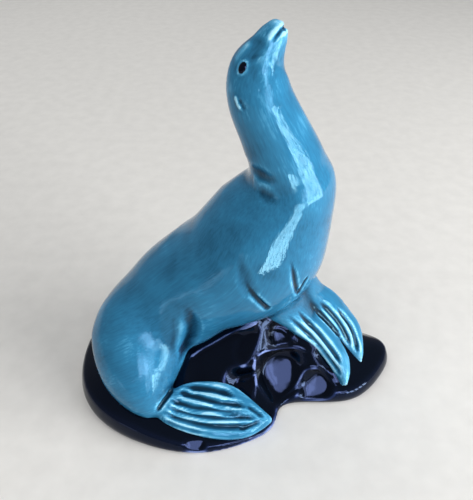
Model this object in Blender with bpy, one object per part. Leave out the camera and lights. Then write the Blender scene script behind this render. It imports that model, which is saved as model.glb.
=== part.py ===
"""Pottery sea lion on a rock: one hollow slip cast piece, glazed blue on the animal and near black on the rock.

Metres, +Z up. The origin lies in the flat underside, in the middle of the outline seen from above. +X runs the
way the animal faces and the hind flipper lies on the -Y side. All sizes below are in millimetres; mm() turns
them to metres. Each skin is a row of rings, and the skins are joined into one body and then hollowed.
"""

import math

import bmesh
import bpy
import numpy as np
from mathutils import Vector

# The casting
WALL = 4.0
ROCK_WALL = 6.0
FLOOR = 5.0
VENT_HOLE_RADIUS = 1.8
VENT_HOLE_X = -20.0
VENT_HOLE_Y = 4.0

# Half widths of the animal across its spine, from the rump to the nose
RUMP_RADIUS = 22.0
LOIN_RADIUS = 25.5
BELLY_RADIUS = 27.5
CHEST_RADIUS = 25.0
SHOULDER_RADIUS = 20.0
FOLD_RADIUS = 17.0
NECK_ROOT_RADIUS = 14.5
NECK_RADIUS = 13.0
NAPE_RADIUS = 12.0
SKULL_RADIUS = 10.5
BROW_RADIUS = 8.0
SNOUT_RADIUS = 6.3
NOSE_RADIUS = 4.6

# Half depths where they differ from the half widths
BELLY_DEPTH = 25.5
BREAST_DEPTH = 29.3
CHEST_DEPTH = 26.8
SKULL_DEPTH = 11.2
BROW_DEPTH = 9.5

# The spine's height at the rump, and how far it rises from there to each next place
RUMP_HEIGHT = 31.0
BELLY_RISE = 21.0
CHEST_RISE = 31.0
NECK_ROOT_RISE = 31.0
NECK_LENGTH = 31.0
HEAD_LENGTH = 21.5
BELLY_HEIGHT = RUMP_HEIGHT + BELLY_RISE
CHEST_HEIGHT = BELLY_HEIGHT + CHEST_RISE
NECK_HEIGHT = CHEST_HEIGHT + NECK_ROOT_RISE
SKULL_HEIGHT = NECK_HEIGHT + NECK_LENGTH

# Half widths of the limbs
HAUNCH_RADIUS = 22.5
ANKLE_RADIUS = 11.0
NEAR_UPPER_ARM_RADIUS = 14.0
FAR_UPPER_ARM_RADIUS = 11.0

# The flippers' ribbed blades
FLIPPER_CROWN = 2.2
FLIPPER_EDGE = 1.6
FLIPPER_SINK = 3.5
TOE_GROOVE_DEPTH = 1.5
HIND_GROOVE_COUNT = 5
FRONT_GROOVE_COUNT = 3

# The rock
RIM_INSET = 3.5
RIM_BULGE = 0.8
BIG_DISH_RADIUS = 10.0
BIG_DISH_DEPTH = 3.0
SMALL_DISH_RADIUS = 7.0
SMALL_DISH_DEPTH = 2.0

# The point in the middle of the rock's outline, which becomes the origin
MIDDLE_X = 0.25
MIDDLE_Y = -3.15

# How finely the skins are made
SPINE_STEP_COUNT = 3
ROCK_STEP_COUNT = 4
BODY_POINT_COUNT = 24
HOLLOW_POINT_COUNT = 12

# Cross sections of the animal from rump to nose: x, y, z, half width, half depth and heading in degrees
SPINE = [
    (-60, 3, RUMP_HEIGHT - 0.4 * RUMP_RADIUS, 4, 4, 0),
    (-58, 3, RUMP_HEIGHT - 0.36 * RUMP_RADIUS, 0.55 * RUMP_RADIUS, 0.6 * RUMP_RADIUS, 0),
    (-51, 3, RUMP_HEIGHT - 0.23 * RUMP_RADIUS, 0.86 * RUMP_RADIUS, 0.86 * RUMP_RADIUS, 0),
    (-41, 4, RUMP_HEIGHT, RUMP_RADIUS, RUMP_RADIUS, 0),
    (-28, 5, RUMP_HEIGHT + 0.43 * BELLY_RISE, LOIN_RADIUS, LOIN_RADIUS, 0),
    (-14, 6, BELLY_HEIGHT, BELLY_RADIUS, BELLY_DEPTH, 0),
    (3.8, 4.5, BELLY_HEIGHT + 0.413 * CHEST_RISE, BELLY_RADIUS, BREAST_DEPTH, -5),
    (14, 4, CHEST_HEIGHT, CHEST_RADIUS, CHEST_DEPTH, -10),
    (20.5, 3, CHEST_HEIGHT + 0.55 * NECK_ROOT_RISE, SHOULDER_RADIUS, SHOULDER_RADIUS, -15),
    (21, 2.5, CHEST_HEIGHT + 0.81 * NECK_ROOT_RISE, FOLD_RADIUS, FOLD_RADIUS, -15),
    (19.5, 2, NECK_HEIGHT, NECK_ROOT_RADIUS, NECK_ROOT_RADIUS, -15),
    (18, 2, NECK_HEIGHT + 0.13 * NECK_LENGTH, NECK_ROOT_RADIUS, NECK_ROOT_RADIUS, -15),
    (14, 2, NECK_HEIGHT + 0.42 * NECK_LENGTH, NECK_RADIUS, NECK_RADIUS, -15),
    (9.5, 2, NECK_HEIGHT + 0.74 * NECK_LENGTH, NAPE_RADIUS, NAPE_RADIUS, -15),
    (7.5, 2, SKULL_HEIGHT, SKULL_RADIUS, SKULL_DEPTH, -15),
    (8, 2, SKULL_HEIGHT + 0.33 * HEAD_LENGTH, BROW_RADIUS, BROW_DEPTH, -15),
    (10.6, 2, SKULL_HEIGHT + 0.6 * HEAD_LENGTH, SNOUT_RADIUS, SNOUT_RADIUS, -15),
    (12.6, 2, SKULL_HEIGHT + 0.84 * HEAD_LENGTH, NOSE_RADIUS, NOSE_RADIUS, -15),
    (13, 2, SKULL_HEIGHT + HEAD_LENGTH, 0.35 * NOSE_RADIUS, 0.39 * NOSE_RADIUS, -15),
]
HOLLOW_SPAN = slice(3, 15)

# Cross sections of the limbs, in the same order of numbers
HAUNCH = [
    (-36, 8, 36, 12, 12, -60),
    (-42, -2, 32, HAUNCH_RADIUS, 22, -70),
    (-44, -13, 26, HAUNCH_RADIUS, 20, -80),
    (-42.5, -25, 19.5, 18, 15.5, -75),
    (-39, -34, 14, ANKLE_RADIUS, 10, -65),
    (-35, -40, 10, 4, 4, -55),
]
HAUNCH_HOLLOW_SPAN = slice(1, 5)
NEAR_ARM = [
    (5, 2, 76, 13, 12, -20),
    (12, -2, 65, NEAR_UPPER_ARM_RADIUS, 12, -35),
    (17, -3, 54, 13, 11, -45),
    (22.5, -3.5, 44.5, 11, 8, -50),
    (29.5, -5.5, 37, 8.5, 4.5, -45),
    (36, -7.5, 29.5, 6, 2, -45),
]
FAR_ARM = [
    (12, 14, 76, 10, 10, -20),
    (20, 12, 64, FAR_UPPER_ARM_RADIUS, 10, -25),
    (26, 9, 55, 9.5, 8.5, -30),
    (32, 6.5, 47, 8, 6, -35),
    (39, 5, 40, 6.5, 3.5, -35),
    (45, 3.5, 32, 5, 1.5, -35),
]

# The two edges of each flipper, from the wrist or ankle to the tip
NEAR_BLADE = (
    [(28, 3, 45), (34, 1, 39), (41, -2, 32), (46.5, -5, 26), (51, -9, 20), (53.5, -14, 16), (53.3, -20, 12.5),
     (51.5, -24, 10)],
    [(15, -7, 40), (24, -10.5, 34), (31, -12, 29), (37, -13.5, 25), (42, -16, 20.5), (46, -19.5, 16),
     (48.5, -22.5, 12.5), (50.5, -25, 10)],
)
FAR_BLADE = (
    [(28, 2, 45), (34, 0, 39), (41, -2, 31), (46, -4, 26), (51, -6, 20), (55, -8, 15), (58, -10, 12),
     (60, -11.5, 9.5)],
    [(34, 9, 50), (41, 10, 43), (48, 10, 37), (54.5, 8, 29), (59, 5, 24), (61.4, 1, 20), (61.8, -5, 15),
     (60.8, -11, 9.5)],
)
HIND_BLADE = (
    [(-34, -36, 14), (-29, -32, 16.5), (-22, -28, 17), (-12, -27, 17), (-3, -28, 16), (4, -31, 13),
     (11, -35.5, 9), (16.5, -39, 6)],
    [(-35, -41, 10), (-31, -44, 9.5), (-23, -47, 8), (-13, -49, 6.5), (-4, -49.5, 5.5), (5, -48, 5),
     (12, -44, 5), (16, -40.5, 5)],
)

# The rock in rows of points; each row runs round it from the rump past the hind flipper and the front end
FOOT = [
    (-75.5, -4), (-67.5, -30.5), (-47, -46), (-20, -52.5), (2, -48.5), (16, -40), (21, -29.5), (36, -26.8),
    (55, -25.2), (69, -14), (76, -1), (70, 8), (56, 14), (38, 25), (15, 40), (-12, 46), (-40, 43), (-66, 29),
]
RIM_HEIGHTS = [11, 11, 10, 6, 4.5, 4, 7, 9, 9, 9, 10, 11, 11, 11, 11, 11, 11, 11]
SLOPE = [
    (-60, 0, 18), (-54, -18, 18), (-40, -30, 13), (-20, -31, 13), (-4, -30, 13), (6, -28, 13),
    (14, -22, 16), (27, -18, 16), (44, -19, 14.5), (55, -11, 14), (60, -3, 15), (57, 4, 16),
    (50, 11, 17), (36, 20, 18), (15, 30, 18), (-10, 34, 18), (-36, 32, 18), (-54, 20, 18),
]
SHOULDER = [
    (-44, 2, 28), (-38, -6, 26), (-28, -12, 20), (-20, -13, 22), (-3, -17, 28), (4, -18, 29),
    (11, -16, 29), (21, -12, 28), (36, -13, 25), (44, -11, 22), (49, -5, 22), (50, 1, 24),
    (45, 7, 28), (34, 13, 30), (16, 19, 30), (-6, 22, 30), (-24, 20, 29), (-38, 12, 29),
]
CREST = [
    (-8, 3, 37), (-7, -1, 35), (-6, -4, 34), (-3, -7, 34), (4, -8, 38), (9, -7, 42),
    (13, -5, 43), (19, -5, 41), (27, -6, 36), (33, -6, 32.5), (40, -2, 31), (41, 2, 34),
    (38, 6, 38), (30, 8, 42), (18, 10, 44), (8, 11, 44), (0, 10, 42), (-6, 7, 39),
]

# The mound's highest point, hidden under the breast
PEAK = (17, 2, 45)

# Dishes scooped in the rock's front: middle x, y, z, radius and depth, and the way they all face
DISHES = [
    (20, -19, 18, BIG_DISH_RADIUS, BIG_DISH_DEPTH),
    (34, -20, 14, SMALL_DISH_RADIUS, SMALL_DISH_DEPTH),
]
DISH_FACING = (0.2, -0.8, 0.56)


def mm(value):
    """A length in millimetres as metres."""
    return value * 0.001


def finish(name, colour, roughness):
    """A material for one glaze or for bare clay; colour is linear red, green and blue."""
    material = bpy.data.materials.new(name)
    material.use_nodes = True
    shader = material.node_tree.nodes["Principled BSDF"]
    shader.inputs["Base Color"].default_value = (*colour, 1)
    shader.inputs["Roughness"].default_value = roughness
    shader.inputs["Metallic"].default_value = 0
    return material


def curve_through(rows, steps, closed=False):
    """Rows of numbers on smooth curves through the given rows, with steps spans between each two."""
    rows = np.array(rows, float)
    if closed:
        padded = np.concatenate([rows[-1:], rows, rows[:2]])
    else:
        padded = np.concatenate([2 * rows[:1] - rows[1:2], rows, 2 * rows[-1:] - rows[-2:-1]])
    made = []
    for p0, p1, p2, p3 in zip(padded, padded[1:], padded[2:], padded[3:]):
        bend = 2 * p0 - 5 * p1 + 4 * p2 - p3
        twist = 3 * p1 - p0 - 3 * p2 + p3
        for t in np.arange(steps) / steps:
            made.append(0.5 * (2 * p1 + (p2 - p0) * t + bend * t**2 + twist * t**3))
    return made if closed else [*made, rows[-1]]


def loft(name, rings, material):
    """A closed skin through rings of points in millimetres, all with as many points, capped at both ends."""
    bm = bmesh.new()
    loops = []
    for ring in rings:
        loops.append([bm.verts.new((mm(x - MIDDLE_X), mm(y - MIDDLE_Y), mm(z))) for x, y, z in ring])
    for low, high in zip(loops, loops[1:]):
        for k in range(len(low)):
            side = bm.faces.new((low[k - 1], low[k], high[k], high[k - 1]))
            side.smooth = True
    bm.faces.new(loops[0])
    bm.faces.new(loops[-1])
    bmesh.ops.recalc_face_normals(bm, faces=bm.faces)
    mesh = bpy.data.meshes.new(name)
    bm.to_mesh(mesh)
    bm.free()
    mesh.materials.append(material)
    skin = bpy.data.objects.new(name, mesh)
    bpy.context.scene.collection.objects.link(skin)
    return skin


def tube_rings(stations, points=BODY_POINT_COUNT, thinner=0.0):
    """Oval rings square to a smooth spine through the stations, with their radii made thinner for a hollow."""
    rows = curve_through(stations, SPINE_STEP_COUNT)
    centres = [Vector(row[:3]) for row in rows]
    rings = []
    for i, row in enumerate(rows):
        ahead = centres[min(i + 1, len(rows) - 1)] - centres[max(i - 1, 0)]
        ahead.normalize()
        heading = math.radians(row[5])
        side = Vector((-math.sin(heading), math.cos(heading), 0))
        side = (side - ahead * side.dot(ahead)).normalized()
        up = ahead.cross(side)
        width = row[3] - thinner
        depth = row[4] - thinner
        ring = []
        for k in range(points):
            turn = math.tau * k / points
            ring.append(centres[i] + side * (width * math.cos(turn)) + up * (depth * math.sin(turn)))
        rings.append(ring)
    return rings


def blade_rings(edges, grooves):
    """Rings round a flipper between its two edges: a crowned top with toe grooves and a back sunk in the rock."""
    near, far = (curve_through(edge, SPINE_STEP_COUNT) for edge in edges)
    points = 4 * grooves + 1
    rings = []
    for i in range(len(near)):
        here = min(max(i, 1), len(near) - 2)
        along = Vector(near[here + 1] + far[here + 1] - near[here - 1] - far[here - 1])
        start = Vector(near[i])
        across = Vector(far[i] - near[i])
        up = along.cross(across).normalized()
        if up.z < 0:
            up.negate()
        full = min(across.length / 9, 1)
        ring = []
        for k in range(points):
            t = k / (points - 1)
            crown = full * FLIPPER_CROWN * math.sin(math.pi * t)
            groove = full * TOE_GROOVE_DEPTH * 0.5 * (1 - math.cos(math.tau * t * grooves))
            ring.append(start + across * t + up * (FLIPPER_EDGE + crown - groove))
        ring.append(start + across - up * FLIPPER_SINK)
        ring.append(start - up * FLIPPER_SINK)
        rings.append(ring)
    return rings


def outward():
    """The level direction out of the rock at each point of its foot."""
    foot = np.array(FOOT)
    away = foot - foot.mean(axis=0)
    return away / np.linalg.norm(away, axis=1)[:, None]


def rock_rings():
    """Rings round the rock, from the underside over the rounded rim and the dished mound to the crest."""
    rim = []
    for share, bulge in ((0.0, 0.0), (0.35, RIM_BULGE), (0.75, -0.1 * RIM_INSET), (1.0, -RIM_INSET)):
        rim.append(np.column_stack([np.array(FOOT) + outward() * bulge, share * np.array(RIM_HEIGHTS)]))
    peak = np.array(PEAK) + 0.25 * (np.array(CREST) - PEAK)
    mound = curve_through([rim[-1], SLOPE, SHOULDER, CREST, peak], SPINE_STEP_COUNT)
    rings = [np.array(curve_through(row, ROCK_STEP_COUNT, closed=True)) for row in rim[:-1] + mound]
    facing = np.array(DISH_FACING) / np.linalg.norm(DISH_FACING)
    for x, y, z, radius, depth in DISHES:
        for ring in rings:
            away = np.linalg.norm(ring - (x, y, z), axis=1) / radius
            ring -= facing * (depth * np.clip(1 - away**2, 0, None) ** 2)[:, None]
    return rings


def rock_hollow_rings():
    """Rings round the space inside the rock: an upright wall from the floor, then the mound drawn in and down."""
    inset = np.column_stack([outward() * ROCK_WALL, np.full(len(FOOT), ROCK_WALL)])
    slope, shoulder, crest = (np.array(row) - inset for row in (SLOPE, SHOULDER, CREST))
    bottom = slope.copy()
    bottom[:, 2] = FLOOR
    return [bottom, slope, shoulder, crest]


def vent_hole_rings():
    """Rings of the hole in the underside that lets air out of the hollow while the piece is fired."""
    turns = [math.tau * k / HOLLOW_POINT_COUNT for k in range(HOLLOW_POINT_COUNT)]
    rings = []
    for z in (-1, FLOOR + 2):
        rings.append([
            (VENT_HOLE_X + VENT_HOLE_RADIUS * math.cos(t), VENT_HOLE_Y + VENT_HOLE_RADIUS * math.sin(t), z)
            for t in turns
        ])
    return rings


def combine(target, other, operation):
    """Adds another skin to the target or takes it away; the other stays as a construction shape."""
    modifier = target.modifiers.new(other.name, "BOOLEAN")
    modifier.operation = operation
    modifier.object = other
    modifier.solver = "EXACT"
    modifier.use_self = operation == "UNION"
    modifier.material_mode = "TRANSFER"
    other.hide_render = True
    other.display_type = "WIRE"


for old in list(bpy.data.objects):
    bpy.data.objects.remove(old)

blue = finish("blue_glaze", (0.075, 0.28, 0.42), 0.08)
dark = finish("dark_glaze", (0.008, 0.009, 0.02), 0.06)
clay = finish("unglazed_clay", (0.72, 0.66, 0.56), 0.8)

figurine = loft("sea_lion_figurine", tube_rings(SPINE), blue)
for name, rings, glaze in (
    ("haunch", tube_rings(HAUNCH), blue),
    ("near_arm", tube_rings(NEAR_ARM), blue),
    ("far_arm", tube_rings(FAR_ARM), blue),
    ("near_blade", blade_rings(NEAR_BLADE, FRONT_GROOVE_COUNT), blue),
    ("far_blade", blade_rings(FAR_BLADE, FRONT_GROOVE_COUNT), blue),
    ("hind_blade", blade_rings(HIND_BLADE, HIND_GROOVE_COUNT), blue),
    ("rock", rock_rings(), dark),
):
    combine(figurine, loft(name, rings, glaze), "UNION")
for name, rings in (
    ("body_hollow", tube_rings(SPINE[HOLLOW_SPAN], HOLLOW_POINT_COUNT, WALL)),
    ("haunch_hollow", tube_rings(HAUNCH[HAUNCH_HOLLOW_SPAN], HOLLOW_POINT_COUNT, WALL)),
    ("rock_hollow", rock_hollow_rings()),
    ("vent_hole", vent_hole_rings()),
):
    combine(figurine, loft(name, rings, clay), "DIFFERENCE")
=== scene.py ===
# %% [markdown]
# # A glazed pottery sea lion on a rock
# The real piece is slip cast: liquid clay is poured in a plaster mould, the shell is fired, and it is coated
# with a blue glaze on the animal and a near black one on the rock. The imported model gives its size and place.
# Here the skin is made again, finer and smoother, and gets its folds, ribs, face and glazes.

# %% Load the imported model
import math

import bmesh
import bpy
import numpy as np
from mathutils import Matrix, Vector
from mathutils.bvhtree import BVHTree


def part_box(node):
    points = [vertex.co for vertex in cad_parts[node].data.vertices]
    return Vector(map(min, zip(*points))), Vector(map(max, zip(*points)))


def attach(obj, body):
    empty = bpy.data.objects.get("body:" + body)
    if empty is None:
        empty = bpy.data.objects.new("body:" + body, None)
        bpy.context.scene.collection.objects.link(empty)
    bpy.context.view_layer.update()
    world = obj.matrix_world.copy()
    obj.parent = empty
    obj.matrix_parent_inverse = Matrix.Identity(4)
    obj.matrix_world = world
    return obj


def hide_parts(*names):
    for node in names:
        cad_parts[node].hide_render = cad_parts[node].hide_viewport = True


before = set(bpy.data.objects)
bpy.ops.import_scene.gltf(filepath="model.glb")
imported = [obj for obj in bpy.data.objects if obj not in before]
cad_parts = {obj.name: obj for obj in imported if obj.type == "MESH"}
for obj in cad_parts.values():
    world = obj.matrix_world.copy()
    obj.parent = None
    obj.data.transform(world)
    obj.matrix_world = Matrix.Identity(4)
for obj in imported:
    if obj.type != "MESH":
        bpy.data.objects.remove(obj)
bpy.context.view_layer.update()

FIGURINE = "sea_lion_figurine"
low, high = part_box(FIGURINE)
print("packed model, mm:", [round(1000 * v, 1) for v in (*low, *high)])

# %% [markdown]
# ## Units and the drawing's middle
# Sizes are real millimetres, measured from the same point as in the part's own drawing. Its origin lies a
# little to one side of the middle of the outline, so every point is moved by that much when it becomes metres.

# %% Millimetres to metres
MIDDLE = Vector((0.25, -3.15, 0))
HALF_WAY_UP = (0, 0, 60)


def mm(value):
    return value * 0.001


def place(point):
    """A point of the drawing in millimetres as a point of the model in metres."""
    return (Vector(point) - MIDDLE) * 0.001


def new_object(name, data):
    """An object in the scene, round a mesh, a camera or a lamp."""
    made = bpy.data.objects.new(name, data)
    bpy.context.scene.collection.objects.link(made)
    return made


# %% [markdown]
# ## The camera
# The photograph looks down on the figurine at about 40 degrees from close by. A camera is a place, a direction
# and a lens, and a lens as short as this one makes the near rock look wider than the head. The focal length
# was worked out in pixels of the picture, and Blender wants it in millimetres on a 36 mm sensor.

# %% Camera
PICTURE = (473, 500)
FOCAL_PIXELS = 540
PITCH = math.radians(39.7)
EYE = Vector((0, -178, 220))
SENSOR = 36

lens = bpy.data.cameras.new("photo_camera")
lens.sensor_width = SENSOR
lens.lens = FOCAL_PIXELS / max(PICTURE) * SENSOR
lens.shift_x = 0.5 / max(PICTURE)
lens.clip_start = 0.01
camera = new_object("photo_camera", lens)
camera.location = place(EYE)
camera.rotation_euler = (math.pi / 2 - PITCH, 0, 0)
bpy.context.scene.camera = camera
print("lens, mm:", round(lens.lens, 1))


def sight(u, v):
    """The direction from the camera through a pixel of the picture, counted from its upper left corner."""
    right = u - PICTURE[0] / 2 + 0.5
    down = v - PICTURE[1] / 2
    level = FOCAL_PIXELS * math.cos(PITCH) - down * math.sin(PITCH)
    rise = -FOCAL_PIXELS * math.sin(PITCH) - down * math.cos(PITCH)
    return Vector((right, level, rise)).normalized()


# %% [markdown]
# ## Smooth curves and skins
# The mould maker's model has no straight lines, so everything starts from smooth curves through a few chosen
# stations. A natural spline is used because its curvature doesn't jump, and a glossy glaze would show a jump as
# a kink in every reflection. A tube skin is oval rings across such a curve, and a blade skin lies between two.

# %% Splines through stations
def bends(rows, closed):
    """Second derivatives of the spline through the rows, from one linear equation for each row."""
    count = len(rows)
    matrix = np.eye(count) * 4
    right = np.zeros_like(rows)
    for i in range(count):
        if not closed and i in (0, count - 1):
            matrix[i, i] = 1
            continue
        before, after = (i - 1) % count, (i + 1) % count
        matrix[i, before] = matrix[i, after] = 1
        right[i] = 6 * (rows[before] - 2 * rows[i] + rows[after])
    return np.linalg.solve(matrix, right.reshape(count, -1)).reshape(rows.shape)


def curve_through(rows, steps, closed=False):
    """Rows of numbers on smooth curves through the given rows, with steps spans between each two."""
    rows = np.array(rows, float)
    bend = bends(rows, closed)
    made = []
    for i in range(len(rows) if closed else len(rows) - 1):
        j = (i + 1) % len(rows)
        for t in np.arange(steps) / steps:
            s = 1 - t
            made.append(s * rows[i] + t * rows[j] + (s**3 - s) * bend[i] / 6 + (t**3 - t) * bend[j] / 6)
    if not closed:
        made.append(rows[-1])
    return np.array(made)


# %% Rings to a closed skin
def loft(bm, rings):
    """Adds a closed skin through rings of points in millimetres, capped at both ends."""
    loops = [[bm.verts.new(place(point)) for point in ring] for ring in rings]
    faces = []
    for low_loop, high_loop in zip(loops, loops[1:]):
        for k in range(len(low_loop)):
            faces.append(bm.faces.new((low_loop[k - 1], low_loop[k], high_loop[k], high_loop[k - 1])))
    faces.append(bm.faces.new(loops[0]))
    faces.append(bm.faces.new(loops[-1]))
    bmesh.ops.recalc_face_normals(bm, faces=faces)


def tube_rings(stations, steps=8, points=64):
    """Oval rings across a spine. A station is x, y, z, half width, half depth and heading in degrees."""
    rows = curve_through(stations, steps)
    centres = [Vector(row[:3]) for row in rows]
    rings = []
    for i, row in enumerate(rows):
        ahead = (centres[min(i + 1, len(rows) - 1)] - centres[max(i - 1, 0)]).normalized()
        heading = math.radians(row[5])
        side = Vector((-math.sin(heading), math.cos(heading), 0))
        side = (side - ahead * side.dot(ahead)).normalized()
        up = ahead.cross(side)
        turns = [math.tau * k / points for k in range(points)]
        rings.append([centres[i] + side * (row[3] * math.cos(t)) + up * (row[4] * math.sin(t)) for t in turns])
    return rings


BLADE_CROWN = 2.4
BLADE_EDGE = 1.3
BLADE_SINK = 3.5
BLADE_FULL_WIDTH = 9


def blade_rings(edges, steps=8, points=24):
    """Rings round a flipper between its two edges, crowned on top and sunk in the rock below."""
    near, far = (curve_through(edge, steps) for edge in edges)
    rings = []
    for i in range(len(near)):
        here = min(max(i, 1), len(near) - 2)
        along = Vector(near[here + 1] + far[here + 1] - near[here - 1] - far[here - 1])
        start, across = Vector(near[i]), Vector(far[i] - near[i])
        up = along.cross(across).normalized()
        if up.z < 0:
            up.negate()
        full = min(across.length / BLADE_FULL_WIDTH, 1)
        ring = []
        for k in range(points):
            t = k / (points - 1)
            ring.append(start + across * t + up * (BLADE_EDGE + full * BLADE_CROWN * math.sin(math.pi * t)))
        ring.append(start + across - up * BLADE_SINK)
        ring.append(start - up * BLADE_SINK)
        rings.append(ring)
    return rings


# %% [markdown]
# ## The animal's forms
# A sculptor would block a sea lion out of a few full forms: one long body from rump to nose, a haunch that
# curls round to the ankle, two front limbs and three flippers. The stations are the part's own, so that the
# finished skin lies where the solid does.

# %% Body and limbs
SPINE = [
    (-60.5, 3, 22, 3, 3, 0),
    (-57.5, 3, 23, 12, 13, 0),
    (-51, 3, 26, 19, 19, 0),
    (-41, 4, 31, 22, 22, 0),
    (-28, 5, 40, 25.5, 25.5, 0),
    (-14, 6, 52, 27.5, 25.5, 0),
    (3.8, 4.5, 64.8, 27.5, 29.3, -5),
    (14, 4, 83, 25, 26.8, -10),
    (20.5, 3, 100, 20, 20, -15),
    (21, 2.5, 108, 17, 17, -15),
    (19.5, 2, 114, 14.8, 14.8, -15),
    (17.8, 2, 118, 14.3, 14.3, -15),
    (14, 2, 127, 13, 13, -15),
    (9.5, 2, 137, 12, 12, -15),
    (7.5, 2, 145, 10.5, 11.2, -15),
    (8, 2, 152, 8, 9.5, -15),
    (10.6, 2, 158, 6.3, 6.3, -15),
    (12.6, 2, 163, 4.6, 4.6, -15),
    (13, 2, 166.5, 1.6, 1.8, -15),
]
HAUNCH = [
    (-36, 8, 36, 12, 12, -60),
    (-42, -2, 32, 22.5, 22, -70),
    (-44, -13, 26, 22.5, 20, -80),
    (-42.5, -25, 19.5, 18, 15.5, -75),
    (-39, -34, 14, 11, 10, -65),
    (-35, -40, 10, 4, 4, -55),
]
NEAR_ARM = [
    (5, 2, 76, 13, 12, -20),
    (12, -2, 65, 14, 12, -35),
    (17, -3, 54, 13, 11, -45),
    (22.5, -3.5, 44.5, 11, 8, -50),
    (29.5, -5.5, 37, 8.5, 4.5, -45),
    (36, -7.5, 29.5, 6, 2, -45),
]
FAR_ARM = [
    (12, 14, 76, 10, 10, -20),
    (20, 12, 64, 11, 10, -25),
    (26, 9, 55, 9.5, 8.5, -30),
    (32, 6.5, 47, 8, 6, -35),
    (39, 5, 40, 6.5, 3.5, -35),
    (45, 3.5, 32, 5, 1.5, -35),
]

# %% The flippers' edges
NEAR_BLADE = (
    [(28, 3, 45), (34, 1, 39), (41, -2, 32), (46.5, -5, 26), (51, -9, 20), (53.5, -14, 16), (53.3, -20, 12.5),
     (51.5, -24, 10)],
    [(15, -7, 40), (24, -10.5, 34), (31, -12, 29), (37, -13.5, 25), (42, -16, 20.5), (46, -19.5, 16),
     (48.5, -22.5, 12.5), (50.5, -25, 10)],
)
FAR_BLADE = (
    [(28, 2, 45), (34, 0, 39), (41, -2, 31), (46, -4, 26), (51, -6, 20), (55, -8, 15), (58, -10, 12),
     (60, -11.5, 9.5)],
    [(34, 9, 50), (41, 10, 43), (48, 10, 37), (54.5, 8, 29), (59, 5, 24), (61.4, 1, 20), (61.8, -5, 15),
     (60.8, -11, 9.5)],
)
HIND_BLADE = (
    [(-34, -36, 14), (-29, -32, 16.5), (-22, -28, 17), (-12, -27, 17), (-3, -28, 16), (4, -31, 13),
     (11, -35.5, 9), (16.5, -39, 6)],
    [(-35, -41, 10), (-31, -44, 9.5), (-23, -47, 8), (-13, -49, 6.5), (-4, -49.5, 5.5), (5, -48, 5),
     (12, -44, 5), (16, -40.5, 5)],
)

# %% [markdown]
# ## One skin from many
# Clay forms melt into each other where they meet. A voxel remesh does the same: it fills all the overlapping
# skins with tiny cells and wraps one even skin round them. The cells are fine enough for the ribs to come.

# %% Join the forms
SKIN_CELL = 0.75


def plain_mesh(piece):
    """Turns a piece and its modifiers into a plain mesh, and takes the modifiers off."""
    graph = bpy.context.evaluated_depsgraph_get()
    mesh = bpy.data.meshes.new_from_object(piece.evaluated_get(graph))
    piece.modifiers.clear()
    piece.data = mesh


def melt_together(name, skins, cell):
    """One piece from many overlapping skins, by a voxel remesh with cells of a given size in millimetres."""
    bm = bmesh.new()
    for rings in skins:
        loft(bm, rings)
    mesh = bpy.data.meshes.new(name)
    bm.to_mesh(mesh)
    bm.free()
    piece = new_object(name, mesh)
    remesh = piece.modifiers.new("cells", "REMESH")
    remesh.mode = "VOXEL"
    remesh.voxel_size = mm(cell)
    plain_mesh(piece)
    return piece


animal = melt_together("glazed_sea_lion", [
    tube_rings(SPINE), tube_rings(HAUNCH), tube_rings(NEAR_ARM), tube_rings(FAR_ARM),
    blade_rings(NEAR_BLADE), blade_rings(FAR_BLADE), blade_rings(HIND_BLADE),
], SKIN_CELL)
print("sea lion skin:", len(animal.data.polygons), "faces")

# %% [markdown]
# ## Adding nodes
# Both the Geometry Nodes and the glazes are node trees, so one helper adds a node, sets what is given, and
# links each input that is given another node's output. Each Geometry Nodes tree ends alike, with real geometry
# and a material.

# %% One helper for every node
def add_node(tree, kind, inputs=None, **settings):
    """A node of any kind. An input is given a value, or the socket of another node to link it to."""
    made = tree.nodes.new(kind)
    for key, value in settings.items():
        setattr(made, key, value)
    for key, value in (inputs or {}).items():
        if isinstance(value, bpy.types.NodeSocket):
            tree.links.new(value, made.inputs[key])
        else:
            made.inputs[key].default_value = value
    return made


def geometry_tree(name, inputs):
    """A Geometry Nodes tree with its geometry sockets and named inputs, each a socket type and a default."""
    tree = bpy.data.node_groups.new(name, "GeometryNodeTree")
    tree.interface.new_socket("Geometry", in_out="INPUT", socket_type="NodeSocketGeometry")
    for label, (kind, default) in inputs.items():
        socket = tree.interface.new_socket(label, in_out="INPUT", socket_type=kind)
        if default is not None:
            socket.default_value = default
    tree.interface.new_socket("Geometry", in_out="OUTPUT", socket_type="NodeSocketGeometry")
    return tree, tree.nodes.new("NodeGroupInput"), tree.nodes.new("NodeGroupOutput")


def end_tree(tree, given, result, shape):
    """Ends a tree with real geometry and the material that the modifier is given."""
    real = add_node(tree, "GeometryNodeRealizeInstances", {"Geometry": shape})
    glazed = add_node(tree, "GeometryNodeSetMaterial", {
        "Geometry": real.outputs[0], "Material": given.outputs["Material"],
    })
    tree.links.new(glazed.outputs[0], result.inputs[0])


def use_tree(piece, tree, **values):
    """Puts a tree on a piece as a modifier, and sets each input by its socket's identifier."""
    modifier = piece.modifiers.new(tree.name, "NODES")
    modifier.node_group = tree
    for socket in tree.interface.items_tree:
        label = socket.name.lower().replace(" ", "_")
        if socket.in_out == "INPUT" and label in values:
            modifier[socket.identifier] = values[label]


# %% [markdown]
# ## Ease the joints
# A potter runs a wet finger over each joint. Blurring the skin's own positions does that: each point moves
# towards its neighbours again and again. The flippers are thin and would melt away, so a weight on each point
# keeps them almost as they are.

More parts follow.
